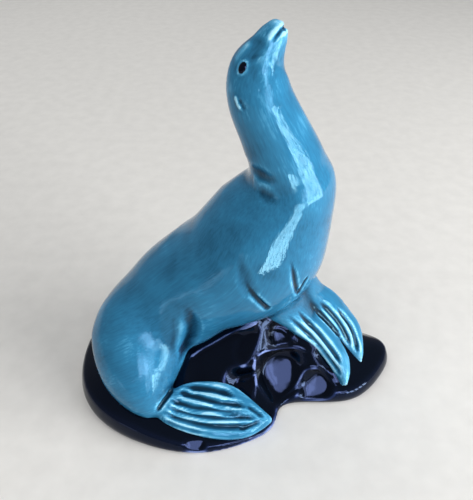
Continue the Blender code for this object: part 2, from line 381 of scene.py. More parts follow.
# %% Ease tree
def ease_tree():
    """Blurs the places of the skin's points, each by its own weight."""
    tree, given, result = geometry_tree("ease_joints", {
        "Rounds": ("NodeSocketInt", 40),
        "Material": ("NodeSocketMaterial", None),
    })
    weight = add_node(tree, "GeometryNodeInputNamedAttribute", {"Name": "ease"}, data_type="FLOAT")
    where = add_node(tree, "GeometryNodeInputPosition")
    blurred = add_node(tree, "GeometryNodeBlurAttribute", {
        "Value": where.outputs[0], "Iterations": given.outputs["Rounds"],
        "Weight": weight.outputs["Attribute"],
    }, data_type="FLOAT_VECTOR")
    moved = add_node(tree, "GeometryNodeSetPosition", {
        "Geometry": given.outputs["Geometry"], "Position": blurred.outputs[0],
    })
    end_tree(tree, given, result, moved.outputs[0])
    return tree


EASE = ease_tree()


def places_of(mesh):
    """The places of a mesh's points in metres, one row for each."""
    places = np.empty(len(mesh.vertices) * 3)
    mesh.vertices.foreach_get("co", places)
    return places.reshape(-1, 3)


# %% Ease the sea lion's joints
def ease(piece, joints, rounds, base):
    """Smooths a piece round each joint, a ball of x, y, z and radius in millimetres, and a little elsewhere."""
    mesh = piece.data
    spots = places_of(mesh)
    weight = np.full(len(spots), base)
    for x, y, z, radius in joints:
        away = np.linalg.norm(spots - np.array(place((x, y, z))), axis=1) / mm(radius)
        weight = np.maximum(weight, base + (1 - base) * np.clip(1 - away**2, 0, None))
    if "ease" not in mesh.attributes:
        mesh.attributes.new("ease", "FLOAT", "POINT")
    mesh.attributes["ease"].data.foreach_set("value", weight)
    use_tree(piece, EASE, rounds=rounds)
    plain_mesh(piece)


JOINTS = [
    (-26, -14, 40, 20),
    (-50, -4, 40, 20),
    (10, -6, 66, 18),
    (18, 10, 66, 15),
    (26, -8, 44, 11),
    (34, 8, 46, 9),
    (-37, -35, 14, 9),
]
BROAD_JOINTS = [
    (-50, 2, 48, 26),
    (-32, -8, 50, 24),
    (-24, 20, 52, 22),
    (-8, 0, 76, 24),
    (8, -2, 70, 20),
    (4, -2, 106, 13),
    (3, 13, 105, 13),
    (12, -12, 106, 12),
]
ease(animal, BROAD_JOINTS, rounds=160, base=0)
ease(animal, JOINTS, rounds=40, base=0.04)
print("sea lion skin eased:", len(animal.data.vertices), "points")

# %% [markdown]
# ## The rock
# The rock is one lump with a rounded foot, so it is a loft too: rows of points run round it, from the small
# hole underneath, out to the foot, up over the rim and the mound, to the crest below the breast.

# %% Rock outline and mound
FOOT = [(-75.5, -4), (-67.5, -30.5), (-47, -46), (-20, -52.5), (2, -48.5), (16, -40), (21, -29.5), (36, -26.8),
        (55, -25.2), (69, -14), (76, -1), (70, 8), (56, 14), (38, 25), (15, 40), (-12, 46), (-40, 43),
        (-66, 29)]
RIM_HEIGHTS = [11, 11, 10, 6, 4.5, 4, 7, 9, 9, 9, 10, 11, 11, 11, 11, 11, 11, 11]
SLOPE = [(-60, 0, 18), (-54, -18, 18), (-40, -30, 13), (-20, -31, 13), (-4, -30, 13), (6, -28, 13),
         (14, -22, 16), (27, -18, 16), (44, -19, 14.5), (55, -11, 14), (60, -3, 15), (57, 4, 16), (50, 11, 17),
         (36, 20, 18), (15, 30, 18), (-10, 34, 18), (-36, 32, 18), (-54, 20, 18)]
SHOULDER = [(-44, 2, 28), (-38, -6, 26), (-28, -12, 20), (-20, -13, 22), (-3, -17, 28), (4, -18, 29),
            (11, -16, 29), (21, -12, 28), (36, -13, 25), (44, -11, 22), (49, -5, 22), (50, 1, 24), (45, 7, 28),
            (34, 13, 30), (16, 19, 30), (-6, 22, 30), (-24, 20, 29), (-38, 12, 29)]
CREST = [(-8, 3, 37), (-7, -1, 35), (-6, -4, 34), (-3, -7, 34), (4, -8, 38), (9, -7, 42), (13, -5, 43),
         (19, -5, 41), (27, -6, 36), (33, -6, 32.5), (40, -2, 31), (41, 2, 34), (38, 6, 38), (30, 8, 42),
         (18, 10, 44), (8, 11, 44), (0, 10, 42), (-6, 7, 39)]
PEAK = (17, 2, 45)
RIM_INSET = 3.5
RIM_BULGE = 0.8
FOOT_ROUND = 0.8
TOP_RING_SHARE = 0.25
# The hole's x, y, radius and depth.
VENT_HOLE = (-20, 4, 1.8, 5)

# %% Rock skin
def outward():
    """Unit vectors across the foot's outline, pointing out."""
    outline = np.array(FOOT, float)
    along = np.roll(outline, -1, axis=0) - np.roll(outline, 1, axis=0)
    across = np.column_stack([along[:, 1], -along[:, 0]])
    return across / np.linalg.norm(across, axis=1)[:, None]


def rock_rings(row_steps=10, ring_steps=18):
    """Rings from inside the vent hole, out under the foot, then over the rim and the mound."""
    foot, heights = np.array(FOOT, float), np.array(RIM_HEIGHTS, float)
    x, y, radius, depth = VENT_HOLE
    spokes = foot - (x, y)
    circle = (x, y) + radius * spokes / np.linalg.norm(spokes, axis=1)[:, None]
    flat = np.zeros(len(foot))
    under = [np.column_stack([circle, flat + depth]), np.column_stack([circle, flat])]
    for share in (0.3, 0.6, 0.9):
        under.append(np.column_stack([circle + share * (foot - circle), flat]))
    under.append(np.column_stack([foot - FOOT_ROUND * outward(), flat]))
    rim = []
    for share, bulge in ((0.03, 0), (0.35, RIM_BULGE), (0.75, -0.1 * RIM_INSET), (1, -RIM_INSET)):
        rim.append(np.column_stack([foot + outward() * bulge, share * heights]))
    top_ring = np.array(PEAK) + TOP_RING_SHARE * (np.array(CREST) - PEAK)
    upper = curve_through([*rim, SLOPE, SHOULDER, CREST, top_ring], row_steps)
    return [curve_through(row, ring_steps, closed=True) for row in [*under, *upper]]


rock = melt_together("glazed_rock", [rock_rings()], SKIN_CELL)
print("rock skin:", len(rock.data.polygons), "faces")

# %% [markdown]
# ## Folds, ribs and grooves
# A modeller draws these with a wire tool in the clay. Here each one is a line drawn over the photograph, in
# its pixels, and sent from the camera on to the skin, so it lies in the right place from any side. A Geometry
# Nodes tree then moves every point of the skin near the line: in for a groove, out for a fold.

# %% Send a drawn line on to a skin
def surface_of(piece):
    """A piece's faces, sorted so that a ray or a nearest point is found quickly."""
    mesh = piece.data
    return BVHTree.FromPolygons([v.co for v in mesh.vertices], [p.vertices for p in mesh.polygons])


def cast(surface, pixels, steps=10):
    """The places on a surface under a smooth line through pixels of the picture."""
    found = []
    for u, v in curve_through(pixels, steps):
        hit = surface.ray_cast(camera.location, sight(u, v))[0]
        if hit is None:
            near = camera.location + sight(u, v) * (camera.location - place(HALF_WAY_UP)).length
            hit = surface.find_nearest(near)[0]
        found.append(hit)
    return found


HEADING = math.radians(-15)
HEAD_ACROSS = Vector((-math.sin(HEADING), math.cos(HEADING), 0))
HEAD_MIDDLE = (10, 2, 150)


def other_side(point):
    """The same place on the other half of the head."""
    away = (point - place(HEAD_MIDDLE)).dot(HEAD_ACROSS)
    return point - 2 * away * HEAD_ACROSS


# %% A line as a wire
SHORTEST_TAPER = 0.001


def smooth_step(share):
    """A share from 0 to 1 that starts and ends level."""
    return share * share * (3 - 2 * share)


def wire(name, points, width, height, taper):
    """An object of edges, with a half width and a height in millimetres that fade towards its ends."""
    share = np.arange(len(points)) / (len(points) - 1)
    start, end = (max(length, SHORTEST_TAPER) for length in taper)
    fade = smooth_step(np.minimum(share / start, (1 - share) / end).clip(0, 1))
    mesh = bpy.data.meshes.new(name)
    mesh.from_pydata(points, [(k, k + 1) for k in range(len(points) - 1)], [])
    for label, values in (("half_width", mm(width) * (0.5 + 0.5 * fade)), ("height", mm(height) * fade)):
        mesh.attributes.new(label, "FLOAT", "POINT").data.foreach_set("value", values)
    return new_object(name, mesh)


# %% Wire tool tree
def wire_tree():
    """Moves the skin along its normal near the edges of another object, by that object's own sizes."""
    tree, given, result = geometry_tree("wire_tool", {
        "Wire": ("NodeSocketObject", None),
        "Roundness": ("NodeSocketFloat", 2.0),
        "Material": ("NodeSocketMaterial", None),
    })
    drawn = add_node(tree, "GeometryNodeObjectInfo", {"Object": given.outputs["Wire"]},
                     transform_space="ORIGINAL")
    edges = drawn.outputs["Geometry"]
    near = add_node(tree, "GeometryNodeProximity", {"Geometry": edges}, target_element="EDGES")
    nearest = add_node(tree, "GeometryNodeSampleNearest", {"Geometry": edges}, domain="POINT")
    read = {}
    for name in ("half_width", "height"):
        stored = add_node(tree, "GeometryNodeInputNamedAttribute", {"Name": name}, data_type="FLOAT")
        sampled = add_node(tree, "GeometryNodeSampleIndex", {
            "Geometry": edges, "Value": stored.outputs["Attribute"], "Index": nearest.outputs["Index"],
        }, data_type="FLOAT", domain="POINT")
        read[name] = sampled.outputs[0]
    reach = add_node(tree, "ShaderNodeMath", {0: near.outputs["Distance"], 1: read["half_width"]},
                     operation="DIVIDE", use_clamp=True)
    square = add_node(tree, "ShaderNodeMath", {0: reach.outputs[0], 1: reach.outputs[0]},
                      operation="MULTIPLY")
    inside = add_node(tree, "ShaderNodeMath", {0: 1.0, 1: square.outputs[0]},
                      operation="SUBTRACT", use_clamp=True)
    shape = add_node(tree, "ShaderNodeMath", {0: inside.outputs[0], 1: given.outputs["Roundness"]},
                     operation="POWER")
    rise = add_node(tree, "ShaderNodeMath", {0: shape.outputs[0], 1: read["height"]}, operation="MULTIPLY")
    normal = add_node(tree, "GeometryNodeInputNormal")
    offset = add_node(tree, "ShaderNodeVectorMath", {0: normal.outputs[0], "Scale": rise.outputs[0]},
                      operation="SCALE")
    moved = add_node(tree, "GeometryNodeSetPosition", {
        "Geometry": given.outputs["Geometry"], "Offset": offset.outputs[0],
    })
    end_tree(tree, given, result, moved.outputs[0])
    return tree


WIRE_TOOL = wire_tree()


# %% Use the wire tool
def work_along(piece, wires, roundness):
    """Moves a piece's skin along each wire in turn, and takes the wires away."""
    for drawn in wires:
        use_tree(piece, WIRE_TOOL, wire=drawn, roundness=roundness)
    plain_mesh(piece)
    for drawn in wires:
        mesh = drawn.data
        bpy.data.objects.remove(drawn)
        bpy.data.meshes.remove(mesh)


def work(piece, name, drawings, roundness=2.0, both_sides=False):
    """Draws lines on a piece with the wire tool. A drawing is half width, height, tapers and pixels."""
    surface = surface_of(piece)
    wires = []
    for width, height, taper, pixels in drawings:
        points = cast(surface, pixels)
        wires.append(wire(name, points, width, height, taper))
        if both_sides:
            mirrored = [surface.find_nearest(other_side(point))[0] for point in points]
            wires.append(wire(name, mirrored, width, height, taper))
    work_along(piece, wires, roundness)
    print(name, "lines:", len(wires))


# %% [markdown]
# ## The animal's folds
# The neck has a soft crease where the head is thrown back, the knee and the armpit have folds, and the head has
# brows, cheeks, an ear and a mouth. Soft folds get wide lines and are drawn first, and crisp ones come last.

# %% Body folds
BODY_FOLDS = [
    (4.5, -0.9, (0.4, 0.6), [(249, 167), (254, 170), (260, 174), (266, 177.5), (274, 181), (282, 183)]),
    (3.5, 0.3, (0.1, 0.5), [(253, 179.5), (257, 182.5), (262, 186), (270, 190), (280, 194)]),
    (4.0, -0.5, (0.3, 0.5), [(256, 187.5), (264, 193), (272, 199), (282, 204)]),
    (5.5, -1.2, (0.5, 0.3), [(184, 302), (188, 311), (191.5, 321), (191, 333), (187, 344), (182, 356),
                             (176, 368)]),
    (4, 0.6, (0.4, 0.3), [(176, 312), (180, 322), (182, 333), (179, 345), (174, 357)]),
    (4.5, -0.6, (0.6, 0.2), [(241, 252), (242, 264), (244.5, 276), (249, 289), (257, 299)]),
    (2.0, -1.0, (0.7, 0.05), [(244, 276), (248, 287), (254, 296), (261, 303), (269, 310)]),
    (1.8, -0.9, (0.6, 0.1), [(290, 258), (292.5, 268), (294.5, 277), (296, 286), (298, 295)]),
    (1.6, -0.9, (0.3, 0.1), [(309, 275), (305.5, 281), (301.5, 288), (298, 295)]),
    (1.35, -1.2, (0.1, 0.2), [(172.5, 389), (167.5, 396.5), (162, 404), (156, 413)]),
]
work(animal, "body_folds", BODY_FOLDS)

# %% Flipper ribs
HIND_GROOVES = [
    (2.2, -1.25, (0.2, 0.3), [(182, 387), (198, 388), (213, 389.5), (226, 393), (237, 398)]),
    (2.2, -1.35, (0.15, 0.25), [(177, 391.5), (190, 394.5), (206, 399), (220, 403), (236, 404.5), (249, 408)]),
    (2.2, -1.35, (0.15, 0.25), [(169, 400), (182, 404), (196, 408), (212, 409), (230, 411.5), (248, 412.5)]),
    (2.2, -1.35, (0.15, 0.25), [(166, 406.5), (182, 412), (198, 415.5), (214, 417.5), (240, 417), (260, 420)]),
    (2.2, -1.25, (0.15, 0.25), [(162, 412.5), (180, 419), (200, 424), (220, 426.5), (240, 426.5),
                                (255, 423.5)]),
    (1.6, -0.6, (0.2, 0.3), [(160, 419.5), (176, 426), (190, 430.5), (206, 433.5)]),
    (1.5, -0.7, (0.3, 0.3), [(244, 405), (252, 409), (259, 414), (265, 418)]),
    (1.5, -0.7, (0.3, 0.3), [(236, 430), (245, 428), (254, 424), (262, 420)]),
]
FRONT_GROOVES = [
    (1.9, -1.2, (0.3, 0.2), [(286, 314), (296, 323), (308, 334), (319, 346), (328, 358), (337, 370),
                             (341, 377)]),
    (1.9, -1.3, (0.3, 0.2), [(296, 309), (306, 320), (317, 331), (328, 345), (336, 356), (341, 366)]),
    (1.9, -1.2, (0.2, 0.2), [(314, 308), (324, 318), (333, 328), (341, 338)]),
    (1.9, -1.2, (0.2, 0.2), [(319, 301), (330, 312), (340, 324), (347, 337), (351, 347)]),
    (1.7, -1.1, (0.2, 0.2), [(336, 306), (345, 318), (352, 329), (356, 342), (358, 355)]),
]
work(animal, "hind_grooves", HIND_GROOVES, roundness=1.3)
work(animal, "front_grooves", FRONT_GROOVES, roundness=1.5)

# %% Head
HEAD_SOFT = [
    (4.0, -0.55, (0.3, 0.3), [(264, 34), (259, 41), (255, 49), (253, 57), (255, 64)]),
    (4.2, 0.50, (0.4, 0.4), [(272, 44), (267, 56), (265, 68), (265, 80), (267, 94)]),
    (2.6, 0.40, (0.3, 0.3), [(254, 40), (248, 45), (242, 51), (237.5, 59), (235, 68)]),
]
HEAD_CRISP = [
    (1.2, -0.75, (0.05, 0.5), [(285.8, 27.2), (283.5, 28.7), (281.5, 30.5), (278, 34.5), (274.5, 40),
                               (271.5, 46.5)]),
    (1.2, 0.25, (0.3, 0.3), [(281, 25.5), (276, 29.5), (271.5, 34), (269, 38.5), (267, 44)]),
    (1.2, 0.20, (0.3, 0.5), [(285.5, 32), (283.5, 33.5), (281, 36.5)]),
    (1.2, 0.55, (0.3, 0.3), [(235, 94), (236.5, 99), (239, 105.5), (242.5, 112)]),
    (1.2, -0.25, (0.3, 0.3), [(238.5, 97), (240.5, 102.5), (243.5, 108), (246, 112)]),
]
work(animal, "head_soft", HEAD_SOFT, both_sides=True)
work(animal, "head_crisp", HEAD_CRISP, both_sides=True, roundness=1.5)

# %% [markdown]
# ## The eyes
# The eyes are drops of black under the clear gloss, a little proud of the face. Each is a flattened ball that
# is set in the skin along its normal, longer than it is wide, with a raised rim of glaze round it.

# %% Eye beads
EYE_TOP = (245.5, 62)
EYE_BOTTOM = (239.8, 73.5)
EYE_HALF_WIDTH = 1.35
EYE_BULGE = 0.7

face = surface_of(animal)
top, bottom = cast(face, [EYE_TOP, EYE_BOTTOM], steps=1)
eye_half_height = 1000 * (top - bottom).length / 2
eye_spots = []
for upper, lower in ((top, bottom), (other_side(top), other_side(bottom))):
    centre, normal, _, _ = face.find_nearest((upper + lower) / 2)
    up = upper - lower
    up = (up - normal * up.dot(normal)).normalized()
    eye_spots.append((centre, normal, up, normal.cross(up)))

bm = bmesh.new()
for centre, normal, up, side in eye_spots:
    ball = bmesh.ops.create_uvsphere(bm, u_segments=32, v_segments=20, radius=1)
    for vert in ball["verts"]:
        x, y, z = vert.co
        across = side * mm(EYE_HALF_WIDTH) * x + up * mm(eye_half_height) * y
        vert.co = centre + across + normal * mm(EYE_BULGE) * z
bmesh.ops.recalc_face_normals(bm, faces=bm.faces)
for bead_face in bm.faces:
    bead_face.smooth = True
eye_mesh = bpy.data.meshes.new("black_eyes")
bm.to_mesh(eye_mesh)
bm.free()
eyes = new_object("black_eyes", eye_mesh)
print("eyes at, mm:", [[round(1000 * value, 1) for value in spot[0]] for spot in eye_spots])

# %% Eye rims
EYE_RIM_GAP = 0.3
EYE_RIM_HALF_WIDTH = 0.9
EYE_RIM_HEIGHT = 0.25
EYE_RIM_STEPS = 40

rims = []
for centre, normal, up, side in eye_spots:
    ring = []
    for k in range(EYE_RIM_STEPS + 1):
        turn = math.tau * k / EYE_RIM_STEPS
        point = centre + up * mm(eye_half_height + EYE_RIM_GAP) * math.sin(turn)
        point = point + side * mm(EYE_HALF_WIDTH + EYE_RIM_GAP) * math.cos(turn)
        ring.append(face.find_nearest(point)[0])
    rims.append(wire("eye_rim", ring, EYE_RIM_HALF_WIDTH, EYE_RIM_HEIGHT, (0, 0)))
work_along(animal, rims, roundness=1.5)
print("eye rims:", len(rims))

# %% [markdown]
# ## The rock's chips
# The rock's front was cut with a broad tool, a chip at a time, and softened with a thumb. Each chip here is a
# plane that takes away all that stands above it near its middle, so that a ridge is left wherever two chips
# meet. A slight bowl and an outline that isn't quite round keep it from looking machined. A plane is aimed by
# what it mirrors, because on black gloss that is what shows.

# %% Chips
CHIP_EDGE = 0.45
TWO_LOBES = 0.12
THREE_LOBES = 0.07
# Each row is the middle's two pixels, radius, depth and bowl in mm, and what it mirrors in degrees.
CHIPS = [
    (280, 374, 14.0, 1.2, 1.5, 12, 32),
    (317, 387, 9.5, 0.8, 0.8, 12, 32),
    (281, 335, 8.0, 0.6, 1.2, 10, 32),
    (222, 358, 21.0, 1.6, 0.6, -45, 40),
    (252, 346, 9.0, 0.9, 0.5, -60, 30),
    (250, 385, 11.0, 1.0, 0.6, -50, 42),
    (324, 362, 7.5, 0.6, 0.5, 75, 20),
    (195, 444.5, 5.0, 0.5, 0.3, 12, 32),
]


def direction(azimuth, elevation):
    """The unit vector towards an azimuth, 0 at the camera's side and 90 at its right, and an elevation."""
    turn, rise = math.radians(azimuth), math.radians(elevation)
    return Vector((math.sin(turn) * math.cos(rise), -math.cos(turn) * math.cos(rise), math.sin(rise)))


def chip(piece, chips):
    """Cuts planes in a piece. The skin within a chip's radius comes down to its plane, less so at its edge."""
    surface = surface_of(piece)
    spots = places_of(piece.data)
    for u, v, radius, depth, bowl, azimuth, elevation in chips:
        ray = sight(u, v)
        middle = surface.ray_cast(camera.location, ray)[0]
        facing = np.array((direction(azimuth, elevation) - ray).normalized())
        offset = spots - np.array(middle)
        turn = np.arctan2(offset[:, 2], offset[:, 0])
        lobes = 1 + TWO_LOBES * np.sin(2 * turn + radius) + THREE_LOBES * np.sin(3 * turn + 2 * radius)
        away = np.linalg.norm(offset, axis=1) / mm(radius) * lobes
        above = offset @ facing + mm(depth) + mm(bowl) * (1 - away**2)
        fade = smooth_step(np.clip((1 - away) / CHIP_EDGE, 0, 1))
        spots -= facing * (np.maximum(above, 0) * fade)[:, None]
        print("chip at, mm:", (1000 * np.array(middle)).round(1), "facing", facing.round(2))
    piece.data.vertices.foreach_set("co", spots.ravel())
    piece.data.update()


chip(rock, CHIPS)

# %% [markdown]
# ## The rock's ridges
# Fine pale lines show between the chips, and a lip above the broadest one. The cut edges are blurred a little
# first, and then the wire tool raises the lines as it did on the animal. A raised line also gets a paler blue
# from the tree that comes next: partly the colour of thin glaze, and partly a painted highlight.

# %% Rock ridges
ROCK_RIDGES = [
    (1.5, 0.7, (0.1, 0.1), [(188, 360), (200, 350.5), (216, 341.5), (232, 332.5), (248, 326), (261, 320)]),
    (1.4, 0.4, (0.2, 0.3), [(254, 359), (258, 355), (264, 351.5), (271, 350), (290, 347.5), (303, 350),
                            (314, 355)]),
    (1.4, 0.45, (0.1, 0.4), [(255, 357), (254, 363), (254, 370), (255, 380), (259, 390)]),
    (1.4, 0.4, (0.1, 0.4), [(254.5, 372), (251, 377), (244, 379.5), (236, 380)]),
    (1.4, 0.4, (0.2, 0.3), [(278, 401), (287, 394), (294, 388), (300, 378), (306, 370), (317, 368.5),
                            (327, 376), (334, 384), (342, 385)]),
    (1.4, 0.3, (0.2, 0.3), [(262, 329), (276, 328.5), (284, 331), (293.5, 339), (299, 346)]),
]
ease(rock, [], rounds=2, base=0.5)
work(rock, "rock_ridges", ROCK_RIDGES, roundness=1.5)

# %% [markdown]
# ## Where the glaze gathers
# Melted glaze runs off edges and gathers in hollows, so a rib looks pale and a groove dark. To know which is
# which, a tree compares each point with the average of its neighbours: below it is a hollow, above it an edge.
# It does so close by, for grooves, and further off, for the folds between limbs.

# %% Hollow tree
def hollow_tree():
    """Stores how many millimetres each point lies below the average of its neighbours, near and far."""
    tree, given, result = geometry_tree("mark_hollows", {
        "Near Rounds": ("NodeSocketInt", 5),
        "Far Rounds": ("NodeSocketInt", 60),
        "Material": ("NodeSocketMaterial", None),
    })
    where = add_node(tree, "GeometryNodeInputPosition")
    normal = add_node(tree, "GeometryNodeInputNormal")
    shape = given.outputs["Geometry"]
    for label, rounds in (("near_hollow", "Near Rounds"), ("far_hollow", "Far Rounds")):
        blurred = add_node(tree, "GeometryNodeBlurAttribute", {
            "Value": where.outputs[0], "Iterations": given.outputs[rounds],
        }, data_type="FLOAT_VECTOR")
        apart = add_node(tree, "ShaderNodeVectorMath", {0: blurred.outputs[0], 1: where.outputs[0]},
                         operation="SUBTRACT")
        above = add_node(tree, "ShaderNodeVectorMath", {0: apart.outputs[0], 1: normal.outputs[0]},
                         operation="DOT_PRODUCT")
        in_mm = add_node(tree, "ShaderNodeMath", {0: above.outputs["Value"], 1: 1000.0},
                         operation="MULTIPLY")
        shape = add_node(tree, "GeometryNodeStoreNamedAttribute", {
            "Geometry": shape, "Name": label, "Value": in_mm.outputs[0],
        }, data_type="FLOAT", domain="POINT").outputs[0]
    end_tree(tree, given, result, shape)
    return tree


HOLLOWS = hollow_tree()

# %% [markdown]
# ## Which way the coat is combed
# Fine lines run along the animal, left by the brush in the model and softened by the glaze. To follow the body
# they need directions that bend with it, so each point is written down as how far it is along the spine, and
# how far it is to the side of the spine and above it. On a flipper the blade's middle line takes the spine's
# place. A blade is thin and the body is thick, so a point counts as twice as far from a blade as it is.

# %% Comb directions
SPINE_HANDICAP = 1
BLADE_HANDICAP = 2


def comb_paths():
    """The lines that the streaks follow, each with the directions to its side and a handicap."""
    rows = curve_through(SPINE, 12)
    headings = np.radians(rows[:, 5])
    to_side = np.column_stack([-np.sin(headings), np.cos(headings), np.zeros(len(rows))])
    paths = [(rows[:, :3], to_side, SPINE_HANDICAP)]
    for edges in (NEAR_BLADE, FAR_BLADE, HIND_BLADE):
        first, second = (curve_through(edge, 6) for edge in edges)
        paths.append(((first + second) / 2, second - first, BLADE_HANDICAP))
    return paths


def comb(piece):
    """Stores each point's place along, beside and above the nearest path, in millimetres."""
    spots = places_of(piece.data)
    made = np.zeros_like(spots)
    nearest = np.full(len(spots), np.inf)
    for line, side, handicap in comb_paths():
        centres = (line - np.array(MIDDLE)) * 0.001
        ahead = np.gradient(centres, axis=0)
        ahead /= np.linalg.norm(ahead, axis=1)[:, None]
        side = side - ahead * (side * ahead).sum(axis=1)[:, None]
        side /= np.linalg.norm(side, axis=1)[:, None]
        up = np.cross(ahead, side)
        length = np.concatenate([[0], np.cumsum(np.linalg.norm(np.diff(centres, axis=0), axis=1))])
        away = np.stack([((spots - centre) ** 2).sum(axis=1) for centre in centres], axis=1)
        near = away.argmin(axis=1)
        least = away.min(axis=1) * handicap**2
        offset = spots - centres[near]
        here = np.column_stack([
            length[near] + (offset * ahead[near]).sum(axis=1),
            (offset * side[near]).sum(axis=1),
            (offset * up[near]).sum(axis=1),
        ])
        closer = least < nearest
        made[closer] = here[closer]
        nearest = np.minimum(nearest, least)
        print("combed along", round(1000 * length[-1]), "mm:", int(closer.sum()), "points")
    stored = piece.data.attributes.new("comb", "FLOAT_VECTOR", "POINT")
    stored.data.foreach_set("vector", 1000 * made.ravel())


comb(animal)

# %% [markdown]
# ## The glazes
# Each glaze is a coloured glass over fired white clay. The base colour is the glass seen against the clay, and
# the gloss on top is smooth and clear. A real gloss mirrors a lamp in the lamp's own colour. Here it is tinted
# a little blue, because the reflections in the photograph are.

# %% Colours and the shared parts
def linear(hex_colour):
    """An sRGB hex colour as the linear colour that Blender's sockets want."""
    made = []
    for k in (1, 3, 5):
        value = int(hex_colour[k:k + 2], 16) / 255
        made.append(value / 12.92 if value <= 0.04045 else ((value + 0.055) / 1.055) ** 2.4)
    return (*made, 1)


def cells(size):
    """The scale at which a noise has cells of a size in millimetres, on coordinates in metres."""
    return 1000 / size


def new_material(name):
    """A material and its empty node tree."""
    made = bpy.data.materials.new(name)
    made.use_nodes = True
    made.node_tree.nodes.clear()
    return made, made.node_tree


def colour_stops(ramp, stops):
    """Sets a colour ramp's stops from pairs of place and hex colour."""
    line = ramp.color_ramp
    while len(line.elements) < len(stops):
        line.elements.new(0.5)
    for element, (where, hex_colour) in zip(line.elements, stops):
        element.position = where
        element.color = linear(hex_colour)


# %% [markdown]
# ## Teal glaze on the animal
# Glazed earthenware: a transparent teal glaze over a white body, poured on and fired at about 1050 degrees. To
# the eye it is as glossy as wet glass, pale where it is thin on ribs and dark where it gathers. Faint clouds
# come from a coat that isn't quite even, and fine streaks run the way it was combed. The surface waves softly,
# which bends each reflection a little.

# %% Teal glaze
CLOUD_SIZE = 14.3
WAVE_SIZE = 9.1
STREAK_LENGTH = 12
STREAK_WIDTH = 0.8
USUAL_THICKNESS = 0.42


def teal_glaze():
    """Adds up what makes the glaze thicker or thinner, and turns the sum into a colour."""
    material, tree = new_material("teal_glazed_earthenware")
    place_on = add_node(tree, "ShaderNodeTexCoord")
    near = add_node(tree, "ShaderNodeAttribute", attribute_name="near_hollow")
    far = add_node(tree, "ShaderNodeAttribute", attribute_name="far_hollow")
    clouds = add_node(tree, "ShaderNodeTexNoise", {
        "Vector": place_on.outputs["Object"], "Scale": cells(CLOUD_SIZE), "Detail": 3.0, "Roughness": 0.5,
    })
    combed = add_node(tree, "ShaderNodeAttribute", attribute_name="comb")
    stretched = add_node(tree, "ShaderNodeMapping", {
        "Vector": combed.outputs["Vector"], "Scale": (1 / STREAK_LENGTH, 1 / STREAK_WIDTH, 1 / STREAK_WIDTH),
    })
    streaks = add_node(tree, "ShaderNodeTexNoise", {
        "Vector": stretched.outputs[0], "Scale": 1.0, "Detail": 2.0, "Roughness": 0.6,
    })
    thickness = USUAL_THICKNESS
    for source, lowest, highest, least, most in (
        (near, -0.25, 0.24, -0.42, 0.46),
        (far, -0.2, 0.7, 0.0, 0.36),
        (clouds, 0.3, 0.7, -0.11, 0.11),
        (streaks, 0.3, 0.7, -0.065, 0.065),
    ):
        part = add_node(tree, "ShaderNodeMapRange", {
            "Value": source.outputs["Fac"], "From Min": lowest, "From Max": highest,
            "To Min": least, "To Max": most,
        })
        thickness = add_node(tree, "ShaderNodeMath", {0: thickness, 1: part.outputs[0]},
                             operation="ADD").outputs[0]
    colour = add_node(tree, "ShaderNodeValToRGB", {"Fac": thickness})
    colour_stops(colour, [(0.0, "#a3dcf4"), (0.14, "#5aa9d2"), (0.32, "#2f7aa3"), (0.46, "#2a6c92"),
                          (0.62, "#1d5577"), (0.82, "#113a55"), (1.0, "#0a2438")])
    waves = add_node(tree, "ShaderNodeTexNoise", {
        "Vector": place_on.outputs["Object"], "Scale": cells(WAVE_SIZE), "Detail": 1.0, "Roughness": 0.4,
    })
    waviness = add_node(tree, "ShaderNodeBump", {
        "Height": waves.outputs["Fac"], "Strength": 0.5, "Distance": mm(0.2),
    })
    bump = add_node(tree, "ShaderNodeBump", {
        "Height": streaks.outputs["Fac"], "Strength": 0.5, "Distance": mm(0.12),
        "Normal": waviness.outputs["Normal"],
    })
    glaze = add_node(tree, "ShaderNodeBsdfPrincipled", {
        "Base Color": colour.outputs["Color"], "Roughness": 0.035, "IOR": 1.45,
        "Specular Tint": linear("#b4ecff"), "Normal": bump.outputs["Normal"],
    })
    add_node(tree, "ShaderNodeOutputMaterial", {"Surface": glaze.outputs[0]})
    return material


TEAL_GLAZE = teal_glaze()

# %% [markdown]
# ## Midnight glaze on the rock
# The same ware under a glaze with so much cobalt and iron that it looks black. It lies thick, so the eye mostly
# sees its reflections, which are softer and dimmer than the teal's. A paler blue shows only along edges and
# ridges: partly the colour of thin glaze, and partly a painted highlight. The eyes are painted with the same
# black. The underside is bare clay, wiped free of glaze so that the foot doesn't stick to the kiln shelf.

# %% Midnight glaze and bare clay
ROCK_WAVE_SIZE = 6.25
# Real grit is finer than a millimetre. It is drawn this coarse so that it shows.
GRIT_SIZE = 1.11


